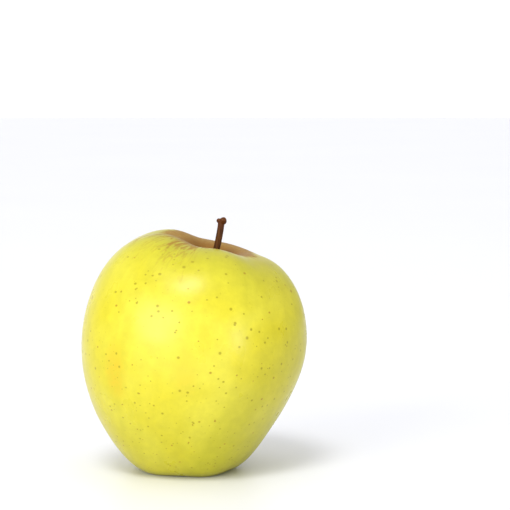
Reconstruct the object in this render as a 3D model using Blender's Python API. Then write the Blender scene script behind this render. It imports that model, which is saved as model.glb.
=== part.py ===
"""A whole yellow apple, taller on one side, that stands on the lobes round its foot.

It has three pieces: the fruit, the stem in the cavity on top, and the dry calyx in the basin underneath.
Lengths are in metres. The front of the apple faces -Y, and its tall shoulder is on the -X side.
"""

import math

import bmesh
import bpy
from mathutils import Matrix, Vector
from mathutils.geometry import interpolate_bezier

# The fruit's half section, before the fruit leans: each place it runs through, and its bend radius there
WIDEST_RADIUS = 0.0380
WIDEST_HEIGHT = 0.0444
WIDEST_BEND = 0.0450
SHOULDER_RADIUS = 0.0145
SHOULDER_HEIGHT = 0.0775
SHOULDER_BEND = 0.0185
CAVITY_DEPTH = 0.0150
CAVITY_BEND = 0.0030
FLANK_RADIUS = 0.0298
FLANK_HEIGHT = 0.0168
FLANK_SLOPE = math.radians(59.3)
FLANK_BEND = 0.0675
FOOT_RADIUS = 0.0128
FOOT_BEND = 0.0050
FOOT_FLAT = 0.0016
BASIN_DEPTH = 0.0080
BASIN_BEND = 0.0060

# What makes the fruit uneven: it leans to +X, its back bows to -X, and its shoulders drop towards +X
LEAN = 0.115
BOW = 0.0029
SHOULDER_DROP = 0.236
SHOULDER_BACK_RISE = 0.022
DROP_STARTS_AT = 0.0094

# Five lobes, counted from the front one towards +X: how far each stands out low down and high up
LOBES = 5
FRONT_LOBE_AT = math.radians(-63.6)
LOBE_TWIST = math.radians(-14.0)
FOOT_LOBES = (0.0014, 0.0006, 0.0010, 0.0010, 0.0005)
SHOULDER_LOBES = (0.0008, 0.0006, 0.0005, 0.0008, 0.0011)
CREST_LOBES = (0.0011, 0.0004, 0.0003, 0.0013, 0.0011)
LOBES_FULL_FROM = 0.0180
FOOT_NOTCH = 0.0003

# How steeply each lobe dies out on its way up or down the fruit
FOOT_LOBE_FADE = 2
CREST_LOBE_FADE = 4
FOOT_NOTCH_FADE = 8

# How deep the lobes' undersides are flattened where the fruit stands
RESTING_FLAT = 0.00015

# Rings of the mesh on each stretch of the section, from the cavity down to the basin, and its sides
SECTION_RINGS = (9, 12, 8, 8, 1, 8)
SIDES = 80

# The section's reaches start as this share of the way to the next place, and settle within these rounds
FIRST_REACH = 0.35
REACH_ROUNDS = 60

# The stem: its line from the cavity's floor, its thickness along the way, and the two knobs at its end
STEM_RADIUS = 0.00090
STEM_ROOT_LIFT = 0.00095
STEM_SIDES_HALF = 3
STEM_STEPS = 12
STEM_RISE = Vector((0.00350, 0.00020, 0.00650))
STEM_END = Vector((0.00650, 0.00000, 0.02250))
STEM_END_PULL = Vector((-0.00080, 0.00000, -0.00700))
STEM_FLARE_ROOT = 0.35
STEM_FLARE_ROOT_ENDS = 0.35
STEM_FLARE_END = 0.30
STEM_FLARE_END_STARTS = 0.75
KNOB_RADIUS = 0.00130
KNOB_OFFSET = Vector((0.00050, -0.00020, 0.00000))
BUD_RADIUS = 0.00085
BUD_OFFSET = Vector((-0.00090, 0.00010, 0.00010))
KNOB_SIDES = 14
KNOB_RINGS = 9

# The calyx: a small cup with five pointed sepals that bend in over it
CUP_GAP = 0.0005
CUP_RADIUS = 0.0026
CUP_TOP_RADIUS = 0.0014
CUP_THICKNESS = 0.0012
CUP_SIDES = 20
SEPAL_LENGTH = 0.0062
SEPAL_WIDTH = 0.0025
SEPAL_TAPER = 0.7
SEPAL_TIP_WIDTH = 0.0001
SEPAL_THICKNESS = 0.0005
SEPAL_ROOT_RADIUS = 0.0021
SEPAL_STEPS_ALONG = 8
SEPAL_STEPS_ACROSS = 4
SEPAL_CURL = math.radians(55.0)
SEPAL_START = math.radians(-10.0)

COLLECTION = "whole_apple"
JOINED_IN = "joined_in"


def new_collection(name):
    collection = bpy.data.collections.new(name)
    bpy.context.scene.collection.children.link(collection)
    return collection


def finish_material(name, colour, roughness):
    """A Principled BSDF in one colour, given in linear values."""
    material = bpy.data.materials.new(name)
    material.use_nodes = True
    shader = material.node_tree.nodes["Principled BSDF"]
    shader.inputs["Base Color"].default_value = (*colour, 1.0)
    shader.inputs["Roughness"].default_value = roughness
    shader.inputs["Metallic"].default_value = 0.0
    material.diffuse_color = (*colour, 1.0)
    return material


def object_from(bm, name, collection, material=None):
    mesh = bpy.data.meshes.new(name)
    bm.to_mesh(mesh)
    bm.free()
    obj = bpy.data.objects.new(name, mesh)
    collection.objects.link(obj)
    if material:
        mesh.materials.append(material)
    return obj


def smooth_step(value, low, high):
    share = min(max((value - low) / (high - low), 0.0), 1.0)
    return share * share * (3.0 - 2.0 * share)


def turned_from(direction, offset):
    """How far the offset point lies to the side of a line through the start in this direction."""
    return abs(direction.x * offset.y - direction.y * offset.x)


def bent_stretch(start, leave, start_bend, end, arrive, end_bend, steps):
    """A Bezier from start to end whose bend radius is the given one at each end."""
    start_reach = FIRST_REACH * (end - start).length
    end_reach = start_reach
    for _ in range(REACH_ROUNDS):
        start_side = turned_from(leave, end - arrive * end_reach - start)
        end_side = turned_from(arrive, start + leave * start_reach - end)
        start_reach = 0.5 * (start_reach + math.sqrt(start_bend * start_side * 2.0 / 3.0))
        end_reach = 0.5 * (end_reach + math.sqrt(end_bend * end_side * 2.0 / 3.0))
    return interpolate_bezier(start, start + leave * start_reach, end - arrive * end_reach, end, steps + 1)


def section():
    """Points (radius, height) of the fruit's half section, from the cavity's floor to the basin's roof."""
    out = Vector((1.0, 0.0))
    down = Vector((0.0, -1.0))
    flank = Vector((-math.cos(FLANK_SLOPE), -math.sin(FLANK_SLOPE)))
    places = (
        (Vector((0.0, SHOULDER_HEIGHT - CAVITY_DEPTH)), out, CAVITY_BEND),
        (Vector((SHOULDER_RADIUS, SHOULDER_HEIGHT)), out, SHOULDER_BEND),
        (Vector((WIDEST_RADIUS, WIDEST_HEIGHT)), down, WIDEST_BEND),
        (Vector((FLANK_RADIUS, FLANK_HEIGHT)), flank, FLANK_BEND),
        (Vector((FOOT_RADIUS + 0.5 * FOOT_FLAT, 0.0)), -out, FOOT_BEND),
        (Vector((FOOT_RADIUS - 0.5 * FOOT_FLAT, 0.0)), -out, FOOT_BEND),
        (Vector((0.0, BASIN_DEPTH)), -out, BASIN_BEND),
    )
    points = [places[0][0]]
    for first, second, rings in zip(places, places[1:], SECTION_RINGS):
        curve = bent_stretch(*first, *second, rings)
        points.extend(point.copy() for point in curve[1:])
    return points


def lobe(around, twist, sizes):
    """The size of the lobe at this angle. Each lobe fades to nothing halfway to the next one."""
    step = math.tau / LOBES
    turned = (around - FRONT_LOBE_AT - twist) / step
    nearest = round(turned)
    return sizes[nearest % LOBES] * 0.5 * (1.0 + math.cos((turned - nearest) * math.tau))


def skin_point(radius, height, around):
    """A point of the uneven skin, for a point of the section turned to this angle."""
    share = min(max(height / SHOULDER_HEIGHT, 0.0), 1.0)
    twist = LOBE_TWIST * share
    off_axis = smooth_step(radius, 0.0, LOBES_FULL_FROM)
    low_lobe = lobe(around, twist, FOOT_LOBES) * (1.0 - share) ** FOOT_LOBE_FADE
    high_lobe = lobe(around, twist, SHOULDER_LOBES) * share
    wide = radius + off_axis * (low_lobe + high_lobe)
    x = wide * math.cos(around)
    y = wide * math.sin(around)
    high = smooth_step(height, DROP_STARTS_AT, SHOULDER_HEIGHT)
    crest = lobe(around, twist, CREST_LOBES) * off_axis * high**CREST_LOBE_FADE
    between = 1.0 - lobe(around, twist, (1.0,) * LOBES)
    notch = FOOT_NOTCH * between * off_axis * (1.0 - share) ** FOOT_NOTCH_FADE
    drop = high * (SHOULDER_BACK_RISE * y - SHOULDER_DROP * x)
    z = height + drop + crest + notch - RESTING_FLAT
    lean = LEAN * height - BOW * math.sin(math.pi * share)
    return Vector((x + lean, y, max(z, 0.0)))


def build_fruit(collection, material):
    """A sphere's rings moved onto the section, so the fruit is one closed skin with a cavity and a basin."""
    points = section()
    rings = len(points) - 1
    bm = bmesh.new()
    bmesh.ops.create_uvsphere(bm, u_segments=SIDES, v_segments=rings, radius=1.0)
    for vertex in bm.verts:
        ring = round(math.acos(min(max(vertex.co.z, -1.0), 1.0)) / math.pi * rings)
        around = math.atan2(vertex.co.y, vertex.co.x)
        vertex.co = skin_point(points[ring].x, points[ring].y, around)
    fruit = object_from(bm, "fruit", collection, material)
    fruit.data.shade_smooth()
    return fruit


def stem_line():
    """Points along the stem from its root to the knobs, with the thickness at each."""
    root = Vector()
    places = interpolate_bezier(root, STEM_RISE, STEM_END + STEM_END_PULL, STEM_END, STEM_STEPS + 1)
    line = []
    for step, place in enumerate(places):
        share = step / STEM_STEPS
        root_flare = STEM_FLARE_ROOT * (1.0 - smooth_step(share, 0.0, STEM_FLARE_ROOT_ENDS))
        end_flare = STEM_FLARE_END * smooth_step(share, STEM_FLARE_END_STARTS, 1.0)
        line.append((place.copy(), 1.0 + root_flare + end_flare))
    return line


def mesh_from_curve(curve_object, name, collection):
    """The curve's tube as a mesh object with its caps welded on. The curve is removed."""
    graph = bpy.context.evaluated_depsgraph_get()
    mesh = bpy.data.meshes.new_from_object(curve_object.evaluated_get(graph))
    bm = bmesh.new()
    bm.from_mesh(mesh)
    bmesh.ops.remove_doubles(bm, verts=bm.verts, dist=0.00001)
    bmesh.ops.recalc_face_normals(bm, faces=bm.faces)
    bm.to_mesh(mesh)
    bm.free()
    made = bpy.data.objects.new(name, mesh)
    made.matrix_world = curve_object.matrix_world
    collection.objects.link(made)
    bpy.data.objects.remove(curve_object)
    return made


def union_with(obj, others, material):
    """Joins the objects of a collection to obj with one Boolean, applies it and removes them."""
    joined = obj.modifiers.new("join", "BOOLEAN")
    joined.operation = "UNION"
    joined.solver = "EXACT"
    joined.operand_type = "COLLECTION"
    joined.collection = others
    bpy.context.view_layer.update()
    graph = bpy.context.evaluated_depsgraph_get()
    mesh = bpy.data.meshes.new_from_object(obj.evaluated_get(graph))
    obj.modifiers.remove(joined)
    obj.data = mesh
    mesh.materials.clear()
    mesh.materials.append(material)
    for other in list(others.objects):
        bpy.data.objects.remove(other)


def add_knob(name, centre, radius, collection):
    bm = bmesh.new()
    place = Matrix.Translation(centre)
    bmesh.ops.create_uvsphere(
        bm, u_segments=KNOB_SIDES, v_segments=KNOB_RINGS, radius=radius, matrix=place
    )
    return object_from(bm, name, collection)


def build_stem(collection, joined_in, material):
    """A bent tube with a swollen root and end, and the scar's knob and the bud joined to its end."""
    line = stem_line()
    curve = bpy.data.curves.new("stem_line", "CURVE")
    curve.dimensions = "3D"
    curve.bevel_depth = STEM_RADIUS
    curve.bevel_resolution = STEM_SIDES_HALF
    curve.use_fill_caps = True
    spline = curve.splines.new("POLY")
    spline.points.add(len(line) - 1)
    for point, (place, thickness) in zip(spline.points, line):
        point.co = (*place, 1.0)
        point.radius = thickness
    tube = bpy.data.objects.new("stem_line", curve)
    collection.objects.link(tube)
    stem = mesh_from_curve(tube, "stem", collection)
    add_knob("stem_knob", STEM_END + KNOB_OFFSET, KNOB_RADIUS, joined_in)
    add_knob("stem_bud", STEM_END + BUD_OFFSET, BUD_RADIUS, joined_in)
    union_with(stem, joined_in, material)
    stem.data.shade_smooth()
    cavity_floor = skin_point(0.0, SHOULDER_HEIGHT - CAVITY_DEPTH, 0.0)
    stem.location = cavity_floor + Vector((0.0, 0.0, STEM_ROOT_LIFT))
    return stem


def sepal_point(along, across, face):
    """A point of a sepal that hangs from the cup and bends in. Along, across and face run from 0 to 1."""
    turn = SEPAL_START + SEPAL_CURL * along
    bend_radius = SEPAL_LENGTH / SEPAL_CURL
    inwards = bend_radius * (math.cos(SEPAL_START) - math.cos(turn))
    down = bend_radius * (math.sin(turn) - math.sin(SEPAL_START))
    width = SEPAL_WIDTH * (1.0 - along) ** SEPAL_TAPER + SEPAL_TIP_WIDTH
    side = (across - 0.5) * width
    lift = (face - 0.5) * SEPAL_THICKNESS * (1.0 - 0.5 * along)
    radial = SEPAL_ROOT_RADIUS - inwards + lift * math.cos(turn)
    return Vector((radial, side, -down + lift * math.sin(turn)))


def add_sepal(index, collection):
    """A grid thickened into a leaf and moved onto the sepal's form."""
    bm = bmesh.new()
    bmesh.ops.create_grid(
        bm, x_segments=SEPAL_STEPS_ALONG, y_segments=SEPAL_STEPS_ACROSS, size=0.5
    )
    raised = bmesh.ops.extrude_face_region(bm, geom=bm.faces[:])
    outer = {item for item in raised["geom"] if isinstance(item, bmesh.types.BMVert)}
    for vertex in bm.verts:
        face = 1.0 if vertex in outer else 0.0
        vertex.co = sepal_point(vertex.co.x + 0.5, vertex.co.y + 0.5, face)
    bmesh.ops.recalc_face_normals(bm, faces=bm.faces)
    turn = Matrix.Rotation(math.tau * index / LOBES, 4, "Z")
    bmesh.ops.transform(bm, matrix=turn, verts=bm.verts)
    return object_from(bm, f"sepal_{index}", collection)


def build_calyx(collection, joined_in, material):
    """The dry cup at the roof of the basin, with its sepals joined to it."""
    bm = bmesh.new()
    bmesh.ops.create_cone(
        bm,
        cap_ends=True,
        segments=CUP_SIDES,
        radius1=CUP_RADIUS,
        radius2=CUP_TOP_RADIUS,
        depth=CUP_THICKNESS,
    )
    calyx = object_from(bm, "calyx", collection)
    for index in range(LOBES):
        add_sepal(index, joined_in)
    union_with(calyx, joined_in, material)
    basin_roof = skin_point(0.0, BASIN_DEPTH, 0.0)
    calyx.location = basin_roof - Vector((0.0, 0.0, CUP_GAP + 0.5 * CUP_THICKNESS))
    return calyx


def stand_over_origin(pieces, collection):
    """Hangs the pieces on one empty, moved so that the middle of the fruit's box is over the origin."""
    stand = bpy.data.objects.new("apple_stand", None)
    collection.objects.link(stand)
    for piece in pieces:
        piece.parent = stand
    corners = [vertex.co for vertex in pieces[0].data.vertices]
    middle_x = 0.5 * (min(corner.x for corner in corners) + max(corner.x for corner in corners))
    middle_y = 0.5 * (min(corner.y for corner in corners) + max(corner.y for corner in corners))
    stand.location = (-middle_x, -middle_y, 0.0)


def main():
    for obj in list(bpy.data.objects):
        bpy.data.objects.remove(obj)
    collection = new_collection(COLLECTION)
    joined_in = new_collection(JOINED_IN)
    skin = finish_material("waxy_yellow_skin", (0.82, 0.77, 0.06), 0.38)
    bark = finish_material("woody_stem", (0.12, 0.045, 0.012), 0.60)
    dry_leaf = finish_material("dry_calyx", (0.10, 0.06, 0.025), 0.85)
    pieces = [
        build_fruit(collection, skin),
        build_stem(collection, joined_in, bark),
        build_calyx(collection, joined_in, dry_leaf),
    ]
    stand_over_origin(pieces, collection)
    bpy.data.collections.remove(joined_in)


main()
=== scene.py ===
"""A whole yellow fruit with its stem and calyx, dressed for a studio picture.

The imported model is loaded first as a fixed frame. The pieces made here are set in that frame, in metres,
with the front facing -Y and the tall shoulder on the -X side.
"""

import functools
import math

import bpy
from bpy.props import FloatProperty, FloatVectorProperty, IntProperty, PointerProperty
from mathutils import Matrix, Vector


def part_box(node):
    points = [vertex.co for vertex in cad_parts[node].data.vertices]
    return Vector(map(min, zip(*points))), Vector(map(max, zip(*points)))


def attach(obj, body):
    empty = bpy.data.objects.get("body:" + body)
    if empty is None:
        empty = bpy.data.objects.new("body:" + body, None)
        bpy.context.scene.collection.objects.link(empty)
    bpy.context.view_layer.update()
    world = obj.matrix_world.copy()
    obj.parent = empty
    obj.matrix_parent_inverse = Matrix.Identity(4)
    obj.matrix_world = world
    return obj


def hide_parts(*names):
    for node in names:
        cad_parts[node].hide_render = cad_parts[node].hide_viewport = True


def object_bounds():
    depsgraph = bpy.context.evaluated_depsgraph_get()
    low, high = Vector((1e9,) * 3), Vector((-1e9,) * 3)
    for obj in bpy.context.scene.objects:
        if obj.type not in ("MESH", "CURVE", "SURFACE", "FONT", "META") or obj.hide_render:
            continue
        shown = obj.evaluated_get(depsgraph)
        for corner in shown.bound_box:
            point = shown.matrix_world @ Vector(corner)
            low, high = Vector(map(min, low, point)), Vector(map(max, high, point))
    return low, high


bl_info = {
    "name": "Whole yellow fruit",
    "version": (1, 0, 0),
    "blender": (4, 5, 0),
    "location": "3D View > Sidebar > Fruit",
    "description": "Makes a whole yellow fruit with pores, stem and calyx, and a studio floor with lights",
    "category": "Add Mesh",
}

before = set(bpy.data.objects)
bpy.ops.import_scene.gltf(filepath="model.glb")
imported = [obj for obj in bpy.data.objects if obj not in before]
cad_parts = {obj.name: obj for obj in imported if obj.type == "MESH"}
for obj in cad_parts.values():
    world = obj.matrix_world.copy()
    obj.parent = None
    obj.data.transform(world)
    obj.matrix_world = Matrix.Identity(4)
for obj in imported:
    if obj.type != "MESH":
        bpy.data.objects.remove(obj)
CAD_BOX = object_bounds()

# A fruit of this kind has five lobes, one for each cell of its core
LOBES = 5

# Points closer than this are one point. On the skin it is far under the mesh's finest spacing at the poles
SAME_POINT = 0.0000005
SAME_LEAF_POINT = 0.000005

# Steps of each stretch of the half section, and rounds of the search for the stretch's handles
SECTION_STEPS = 48
HANDLE_ROUNDS = 60

# How far the finished skin's box may differ from the solid's, in metres
FIT_TOLERANCE = 0.0006

# Faint warm blushes where the sun caught the skin, one on the left and a paler one in front. Each has its
# middle, its radius and its strength
BLUSHES = (
    ((-0.0255, -0.0290, 0.0385), 0.0060, 0.50),
    ((-0.0020, -0.0375, 0.0390), 0.0055, 0.25),
)

# A node's kind is the end of its name in Blender, and these are the starts that the name can have
KIND_STARTS = ("ShaderNode", "GeometryNode", "FunctionNode", "Node", "")

# The setting that the second word after a node's kind gives
MODES = {
    "Math": "operation",
    "VectorMath": "operation",
    "MapRange": "interpolation_type",
    "Mapping": "vector_type",
    "Mix": "data_type",
    "RandomValue": "data_type",
    "IndexSwitch": "data_type",
    "TexNoise": "noise_dimensions",
    "MeshCone": "fill_type",
    "SampleCurve": "mode",
}

SOCKET_KINDS = {
    int: "NodeSocketInt",
    float: "NodeSocketFloat",
    Vector: "NodeSocketVector",
    bpy.types.Object: "NodeSocketObject",
    bpy.types.Material: "NodeSocketMaterial",
}


def linear(hex_text):
    """A linear colour with full alpha from an sRGB hex value."""
    levels = [int(hex_text[start:start + 2], 16) / 255.0 for start in (1, 3, 5)]
    bent = [level / 12.92 if level <= 0.04045 else ((level + 0.055) / 1.055) ** 2.4 for level in levels]
    return (*bent, 1.0)


def length(name, description, default):
    """A size that a user can change, in metres."""
    return FloatProperty(name=name, description=description, default=default, unit="LENGTH", precision=5)


def angle(name, description, degrees):
    """An angle that a user can change, given in degrees and held in radians."""
    return FloatProperty(name=name, description=description, default=math.radians(degrees), unit="ROTATION")


def share(name, description, default):
    """A share that a user can change, from 0 to 1."""
    return FloatProperty(
        name=name, description=description, default=default, min=0.0, max=1.0, subtype="FACTOR"
    )


def plain(name, description, default):
    """A plain number that a user can change."""
    return FloatProperty(name=name, description=description, default=default)


def count(name, description, default):
    """A whole number that a user can change."""
    return IntProperty(name=name, description=description, default=default, min=0)


def place(name, description, default):
    """A place or a way from one place to another, in metres."""
    return FloatVectorProperty(
        name=name, description=description, default=default, subtype="TRANSLATION", unit="LENGTH", precision=5
    )


def lobe_sizes(name, description, default):
    """How far each of the five lobes stands out, counted from the front one towards +X."""
    return FloatVectorProperty(
        name=name, description=description, default=default, size=LOBES, unit="LENGTH", precision=5
    )


def colour(name, description, hex_text):
    """A colour that a user can change, given as an sRGB hex value."""
    return FloatVectorProperty(
        name=name, description=description, default=linear(hex_text),
        subtype="COLOR", size=4, min=0.0, max=1.0,
    )


class FruitSizes(bpy.types.PropertyGroup):
    """The fruit's half section, and what makes the fruit uneven. The solid has the same sizes."""

    widest_radius: length("Widest radius", "Radius at the widest line", 0.0380)
    widest_height: length("Widest height", "Height of the widest line", 0.0444)
    widest_bend: length("Widest bend", "Bend radius of the section at the widest line", 0.0450)
    shoulder_radius: length("Shoulder radius", "Radius of the crest round the cavity", 0.0145)
    shoulder_height: length("Shoulder height", "Height of the crest round the cavity", 0.0775)
    shoulder_bend: length("Shoulder bend", "Bend radius of the section at the crest", 0.0185)
    cavity_depth: length("Cavity depth", "Depth of the stem cavity under the crest", 0.0150)
    cavity_bend: length("Cavity bend", "Bend radius at the floor of the cavity", 0.0030)
    flank_radius: length("Flank radius", "Radius at the flank, above the foot", 0.0298)
    flank_height: length("Flank height", "Height of the flank", 0.0168)
    flank_slope: angle("Flank slope", "Slope of the section at the flank", 59.3)
    flank_bend: length("Flank bend", "Bend radius of the section at the flank", 0.0675)
    foot_radius: length("Foot radius", "Radius of the ring that the fruit stands on", 0.0128)
    foot_bend: length("Foot bend", "Bend radius of the section at the foot", 0.0050)
    foot_flat: length("Foot flat", "Width of the flat stretch under the foot", 0.0016)
    basin_depth: length("Basin depth", "Depth of the calyx basin above the foot", 0.0080)
    basin_bend: length("Basin bend", "Bend radius at the roof of the basin", 0.0060)
    lean: plain("Lean", "How far the fruit leans to +X for each metre of height", 0.115)
    bow: length("Bow", "How far its back bows to -X at half height", 0.0029)
    shoulder_drop: plain("Shoulder drop", "How far the shoulders drop for each metre to +X", 0.236)
    shoulder_back_rise: plain("Shoulder back rise", "How far the shoulders rise for each metre to +Y", 0.022)
    drop_starts_at: length("Drop starts at", "Height from which the shoulders drop", 0.0094)
    front_lobe_at: angle("Front lobe at", "Where the front lobe is, round the axis from +X", -63.6)
    lobe_twist: angle("Lobe twist", "How far the lobes turn on their way up", -14.0)
    foot_lobes: lobe_sizes("Foot lobe", "Lobes at the foot", (0.0014, 0.0006, 0.0010, 0.0010, 0.0005))
    shoulder_lobes: lobe_sizes("Shoulder lobe", "Lobes higher up", (0.0008, 0.0006, 0.0005, 0.0008, 0.0011))
    crest_lobes: lobe_sizes("Crest lobe", "Rise of the crest", (0.0011, 0.0004, 0.0003, 0.0013, 0.0011))
    lobes_full_from: length("Lobes full from", "Radius from which the lobes have their full size", 0.0180)
    foot_notch: length("Foot notch", "Height of the notches between the lobes' undersides", 0.0003)
    resting_flat: length("Resting flat", "How deep the lobes' undersides are flattened", 0.00015)
    stand_x: length("Stand x", "Moves the fruit so that the middle of its box is over the origin", -0.00262)
    stand_y: length("Stand y", "Moves the fruit so that the middle of its box is over the origin", 0.00006)
    rings: count("Rings", "Rings of the skin's mesh, from the cavity's floor to the basin's roof", 215)
    sides: count("Sides", "Sides of each ring", 320)
    swell_height: length("Swell height", "Height of the broad swells that the skin has", 0.00030)
    swell_width: length("Swell width", "Width of the broad swells", 0.0150)
    ripple_height: length("Ripple height", "Height of the small ripples on the skin", 0.00006)
    ripple_width: length("Ripple width", "Width of the small ripples", 0.0045)
    swells_full_from: length("Swells full from", "Height from which they have their full size", 0.004)
    swells_seed: count("Swells seed", "Fixed seed of the swells and the ripples", 3)


class SkinFinish(bpy.types.PropertyGroup):
    """Waxy skin of a ripe yellow fruit, with russet in the cavity."""

    ripe: colour("Ripe yellow", "The skin where it is ripest", "#D1C529")
    pale: colour("Pale yellow", "Paler patches of the skin", "#D5CC3D")
    # Also used low down on the right as painted shade
    unripe_and_painted_shade: colour("Green yellow", "The skin where it is least ripe", "#AFAB1C")
    blush: colour("Blush", "The faint warm patches on the front", "#D9A91E")
    russet: colour("Russet", "The corky skin in and round the cavity", "#A8843A")
    # Also painted deep in the cavity as painted shade
    russet_dark: colour("Dark russet", "The darker grain of the russet", "#7C4610")
    streak: colour("Streak", "The russet streaks that run out over the skin", "#9A721C")
    # Partly a thin cork film and partly a painted reflection of the surroundings, strongest on the right
    # shoulder
    film_and_painted_reflection: colour("Film", "The thin grey-brown film on the shoulder", "#B6A240")
    pore: colour("Pore", "The pores at their middle", "#978A0A")
    pore_warm: colour("Warm pore", "Some pores are browner", "#A37616")
    patch_width: length("Patch width", "Width of the broad colour patches", 0.026)
    mottle_width: length("Mottle width", "Width of the fine mottling", 0.0035)
    speck_spacing: length("Speck spacing", "Spacing of the faintest pores, which are colour alone", 0.0024)
    russet_front: length("Russet front", "How far the russet reaches from the stem to the front", 0.0146)
    russet_back: length("Russet back", "How far it reaches to the back", 0.0172)
    russet_fringe: length("Russet fringe", "How far its torn edge runs on", 0.0040)
    russet_left: length("Russet left", "How far its torn edge runs on to the front left", 0.0170)
    line_reach: length("Line reach", "How far the thin lines on the front left run on", 0.0170)
    gloss_roughness: share("Wax roughness", "Roughness of the waxy skin", 0.31)
    russet_roughness: share("Russet roughness", "Roughness of the corky russet", 0.62)


class PoreSizes(bpy.types.PropertyGroup):
    """The pores: soft round dots, sparse and large near the top, dense and small near the foot."""

    density_high: plain("Density high up", "Pores for each square metre near the shoulder", 26000.0)
    density_low: plain("Density low down", "Pores for each square metre near the foot", 60000.0)
    smallest: length("Smallest radius", "Radius of the smallest pores with their soft edge", 0.00036)
    largest: length("Largest radius", "Radius of the largest pores with their soft edge", 0.00090)
    low_share: share("Size low down", "Size of the pores near the foot, of that near the shoulder", 0.62)
    low_height: length("Low height", "Height under which the pores are smallest and densest", 0.0080)
    high_height: length("High height", "Height above which the pores are largest and sparsest", 0.0560)
    proud: length("Proud", "How far the middle of a pore stands proud of the skin", 0.00003)
    clear_radius: length("Clear radius", "Radius round the axis that has no pores", 0.0100)
    full_radius: length("Full radius", "Radius from which the pores have their full density", 0.0160)
    foot_clear: length("Foot clear", "Height over the floor up to which there are no pores", 0.0010)
    pore_sides: count("Pore sides", "Sides of each pore", 10)
    seed: count("Seed", "Fixed seed of the pores' places and sizes", 11)


class StemSizes(bpy.types.PropertyGroup):
    """The stem, its two knobs and the scar at its end."""

    root_lift: length("Root lift", "Height of the root over the cavity's floor", 0.00095)
    rise: place("Rise", "Where the stem heads from its root", (0.00350, 0.00020, 0.00650))
    end: place("End", "Where the stem ends, from its root", (0.00650, 0.00000, 0.02250))
    end_pull: place("End pull", "Where the stem comes from at its end", (-0.00080, 0.00000, -0.00700))
    radius: length("Stem radius", "Radius of the stem at its middle", 0.00088)
    root_flare: share("Root flare", "How much thicker the root is", 0.35)
    root_flare_ends: share("Root flare ends", "Where along the stem the root's flare ends", 0.35)
    end_flare: share("End flare", "How much thicker the end is", 0.30)
    end_flare_starts: share("End flare starts", "Where along the stem the end's flare starts", 0.75)
    knob_radius: length("Knob radius", "Radius of the knob with the scar", 0.00128)
    knob_offset: place("Knob offset", "Middle of the knob, from the stem's end", (0.00050, -0.00020, 0.00000))
    bud_radius: length("Bud radius", "Radius of the bud beside the knob", 0.00084)
    bud_offset: place("Bud offset", "Middle of the bud, from the stem's end", (-0.00090, 0.00010, 0.00010))
    scar_radius: length("Scar radius", "Radius of the raised rim of the scar", 0.00072)
    scar_rim: length("Scar rim", "Thickness of the scar's rim", 0.00022)
    scar_offset: place("Scar offset", "Its middle, from the stem's end", (0.00078, -0.00098, 0.00062))
    ridge_height: length("Ridge height", "Height of the ridges that run along the bark", 0.00010)
    ridge_width: length("Ridge width", "Width of those ridges", 0.00055)
    wrinkle_height: length("Wrinkle height", "Height of the bark's fine wrinkles", 0.00003)
    grain: length("Grain", "Spacing of the stem's mesh", 0.00009)
    seed: count("Bark seed", "Fixed seed of the ridges", 5)


class BarkFinish(bpy.types.PropertyGroup):
    """Thin smooth bark of a ripe fruit's stem, dark red-brown with paler streaks."""

    bark: colour("Bark", "The stem's main colour", "#5F3600")
    bark_dark: colour("Dark bark", "Its darker streaks and hollows", "#361A00")
    bark_red: colour("Red bark", "The knobs, which are redder", "#562A06")
    scar: colour("Scar", "The pale cork of the scar", "#8A5436")
    roughness: share("Bark roughness", "Roughness of the bark", 0.46)


class CalyxSizes(bpy.types.PropertyGroup):
    """The dry calyx: a low cup with five sepals that bend in over the stamens."""

    cup_gap: length("Cup gap", "Gap between the cup and the roof of the basin", 0.00050)
    cup_radius: length("Cup radius", "Radius of the cup at its lower side", 0.0026)
    cup_top_radius: length("Cup top radius", "Radius of the cup at its upper side", 0.0014)
    cup_thickness: length("Cup thickness", "Thickness of the cup", 0.0012)
    sepal_length: length("Sepal length", "Length of a sepal along its bend", 0.0062)
    sepal_width: length("Sepal width", "Width of a sepal at its root", 0.0026)
    sepal_thickness: length("Sepal thickness", "Thickness of a sepal", 0.00028)
    sepal_root: length("Sepal root", "Radius of the ring that the sepals grow from", 0.0021)
    sepal_curl: angle("Sepal curl", "How far a sepal bends over its length", 55.0)
    sepal_start: angle("Sepal start", "Which way a sepal heads at its root", -10.0)
    crease: length("Crease", "Depth of the crease along a sepal's middle", 0.00035)
    crumple: length("Crumple", "How far the dry sepals are crumpled", 0.00035)
    crumple_width: length("Crumple width", "Width of the crumples", 0.0013)
    stamens: count("Stamens", "Number of dried stamens", 15)
    stamen_length: length("Stamen length", "Length of a stamen", 0.0036)
    stamen_radius: length("Stamen radius", "Radius of a stamen", 0.00009)
    stamen_ring: length("Stamen ring", "Radius of the ring that the stamens grow from", 0.0011)
    seed: count("Crumple seed", "Fixed seed of the crumples and the stamens", 8)


class SepalFinish(bpy.types.PropertyGroup):
    """Dry leaf, matt and brittle, with a paler felt on its ridges."""

    leaf: colour("Dry leaf", "The dry sepals", "#5A4228")
    leaf_dark: colour("Dark leaf", "Their darker hollows and tips", "#2C1D10")
    felt: colour("Felt", "The pale felt on their ridges", "#8C7A55")


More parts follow.
